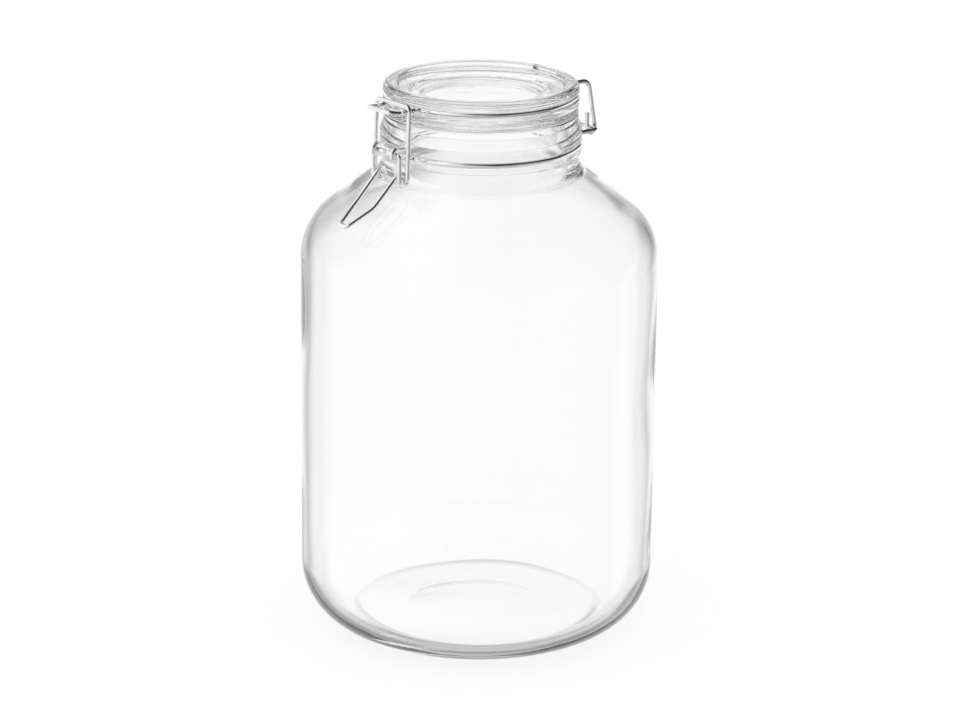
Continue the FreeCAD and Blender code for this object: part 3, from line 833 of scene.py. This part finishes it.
def level_ramp(tree, turn, levels):
    """Brightness looked up by angle."""
    ramp = tree.nodes.new("ShaderNodeValToRGB")
    stops = ramp.color_ramp.elements
    while len(stops) > 1:
        stops.remove(stops[-1])
    stops[0].position = 0.0
    stops[0].color = grey(levels[0][1])
    for degrees, level in levels[1:]:
        stops.new(degrees / HALF_TURN).color = grey(level)
    tree.links.new(turn, ramp.inputs["Fac"])
    return ramp.outputs["Color"]


def clear_backdrop(tree, heading, settings):
    """What clear pieces show: a pale backdrop that is darker beside the object and below it."""
    middle = Matrix.Rotation(-settings.backdrop_turn, 3, "Z") @ view_direction(settings)[1]
    side = middle.cross(UP).normalized()
    dark = grey(settings.dark_level)
    from_up = angle_from(tree, heading, UP)
    from_middle = angle_from(tree, heading, middle)
    backdrop = level_ramp(tree, from_middle, BACKDROP_LEVELS)
    backdrop = mix_colours(tree, level_ramp(tree, from_up, SKY_LEVELS), backdrop, WHITE)
    shade = level_ramp(tree, from_up, HORIZON_SHADES)
    shade = mix_colours(tree, level_ramp(tree, angle_from(tree, heading, side), SIDE_SHADES), BLACK, shade)
    shade = mix_colours(tree, level_ramp(tree, from_middle, BEHIND_SHADES), BLACK, shade)
    backdrop = mix_colours(tree, shade, backdrop, dark)
    below = level_ramp(tree, angle_from(tree, heading, -UP), FLOOR_SHADES)
    return mix_colours(tree, below, backdrop, dark)


def mirrored_studio(tree, heading, settings):
    """What bright pieces mirror: a dim room with softboxes."""
    studio = grey(settings.room_level)
    for place, levels in SOFTBOXES.values():
        towards = seen_from_camera(settings, *place)
        lit = level_ramp(tree, angle_from(tree, heading, towards), levels)
        studio = mix_colours(tree, lit, studio, WHITE)
    return studio


class CANISTER_OT_stage(bpy.types.Operator):
    """Set the camera, the pale floor and the soft studio light"""

    bl_idname = "canister.stage"
    bl_label = "Stage"

    def execute(self, context):
        settings = context.scene.canister_stage
        self.camera(context, settings)
        self.world(context, settings)
        self.floor(context, settings)
        self.lamps(context, settings)
        context.scene.view_settings.view_transform = "Standard"
        paths = context.scene.cycles
        paths.max_bounces = GLASS_BOUNCES
        paths.transmission_bounces = GLASS_BOUNCES
        paths.glossy_bounces = MIRROR_BOUNCES
        paths.transparent_max_bounces = CLEAR_BOUNCES
        return {"FINISHED"}

    def camera(self, context, settings):
        turn = settings.azimuth
        ahead, view = view_direction(settings)
        right = ahead.cross(UP)
        top = ahead * math.sin(settings.pitch) + UP * math.cos(settings.pitch)
        leaning_right = right * math.cos(settings.roll) + top * math.sin(settings.roll)
        leaning_top = top * math.cos(settings.roll) - right * math.sin(settings.roll)
        place = Vector((math.sin(turn), -math.cos(turn), 0)) * settings.distance
        place.z = settings.height
        lens = bpy.data.cameras.new("camera")
        lens.sensor_fit = "HORIZONTAL"
        lens.sensor_width = SENSOR_WIDTH
        lens.lens = settings.focal / PHOTO_WIDTH * SENSOR_WIDTH
        lens.clip_end = VIEW_REACH
        camera = bpy.data.objects.new("camera", lens)
        context.scene.collection.objects.link(camera)
        axes = Matrix((leaning_right, leaning_top, -view)).transposed().to_4x4()
        camera.matrix_world = Matrix.Translation(place) @ axes
        context.scene.camera = camera

    def world(self, context, settings):
        world = bpy.data.worlds.new("studio")
        context.scene.world = world
        world.use_nodes = True
        tree = world.node_tree
        tree.nodes.clear()
        heading = tree.nodes.new("ShaderNodeTexCoord").outputs["Generated"]
        studio = mirrored_studio(tree, heading, settings)
        backdrop = clear_backdrop(tree, heading, settings)
        shown = grey(settings.fill_level)
        sights = {"Is Glossy Ray": studio, "Is Transmission Ray": backdrop, "Is Camera Ray": WHITE}
        for kind, sight in sights.items():
            shown = mix_colours(tree, seen_rays(tree, (kind,)), shown, sight)
        background = tree.nodes.new("ShaderNodeBackground")
        tree.links.new(shown, background.inputs["Color"])
        output = tree.nodes.new("ShaderNodeOutputWorld")
        tree.links.new(background.outputs["Background"], output.inputs["Surface"])

    def floor(self, context, settings):
        shape = bmesh.new()
        bmesh.ops.create_circle(shape, cap_ends=True, radius=settings.floor_radius, segments=FLOOR_SIDES)
        mesh = bpy.data.meshes.new("floor")
        shape.to_mesh(mesh)
        shape.free()
        floor = bpy.data.objects.new("floor", mesh)
        floor.location.z = -FLOOR_GAP
        context.scene.collection.objects.link(floor)
        floor.visible_glossy = False
        floor.visible_transmission = False
        material = new_material("floor")
        tree = material.node_tree
        glow = tree.nodes.new("ShaderNodeEmission")
        matt = add_node(tree, "ShaderNodeBsdfDiffuse", Color=(*settings.floor_tint, 1.0))
        seen = seen_rays(tree, ("Is Camera Ray", "Is Glossy Ray", "Is Transmission Ray"))
        glow_share = calculate(tree, "MULTIPLY", seen, 1.0 - settings.floor_shade)
        show_surface(tree, mix_shaders(tree, glow_share, matt.outputs["BSDF"], glow.outputs["Emission"]))
        mesh.materials.append(material)

    def lamps(self, context, settings):
        softbox = bpy.data.lights.new("softbox", "AREA")
        softbox.shape = "RECTANGLE"
        softbox.size = LAMP_WIDTH
        softbox.size_y = LAMP_DEPTH
        softbox.energy = settings.key_power
        lamp = bpy.data.objects.new("softbox", softbox)
        context.scene.collection.objects.link(lamp)
        turn = settings.azimuth - LAMP_TURN
        lamp.location = (LAMP_OUT * math.sin(turn), -LAMP_OUT * math.cos(turn), LAMP_HEIGHT)
        lamp.visible_glossy = False
        lamp.visible_transmission = False
        lamp.rotation_euler = (LAMP_AIM - lamp.location).to_track_quat("-Z", "Y").to_euler()


class CANISTER_PT_tools(bpy.types.Panel):
    """Buttons that dress the canister, in order"""

    bl_idname = "CANISTER_PT_tools"
    bl_label = "Canister"
    bl_space_type = "VIEW_3D"
    bl_region_type = "UI"
    bl_category = "Canister"

    def draw(self, context):
        for operator in OPERATORS:
            self.layout.operator(operator.bl_idname)


OPERATORS = (CANISTER_OT_jar, CANISTER_OT_lid, CANISTER_OT_seal, CANISTER_OT_wires, CANISTER_OT_stage)

SETTINGS = {
    "canister_jar": JarSizes,
    "canister_lid": LidSizes,
    "canister_seal": SealSizes,
    "canister_glass": GlassFinish,
    "canister_wire": WireFinish,
    "canister_stage": StageSettings,
}


def register():
    for group in SETTINGS.values():
        bpy.utils.register_class(group)
    for name, group in SETTINGS.items():
        setattr(bpy.types.Scene, name, PointerProperty(type=group))
    for item in (*OPERATORS, CANISTER_PT_tools):
        bpy.utils.register_class(item)


def unregister():
    for item in (CANISTER_PT_tools, *OPERATORS):
        bpy.utils.unregister_class(item)
    for name in SETTINGS:
        delattr(bpy.types.Scene, name)
    for group in SETTINGS.values():
        bpy.utils.unregister_class(group)


def main():
    register()
    bpy.ops.canister.jar()
    bpy.ops.canister.lid()
    bpy.ops.canister.seal()
    bpy.ops.canister.wires()
    bpy.ops.canister.stage()


if __name__ == "__main__":
    main()
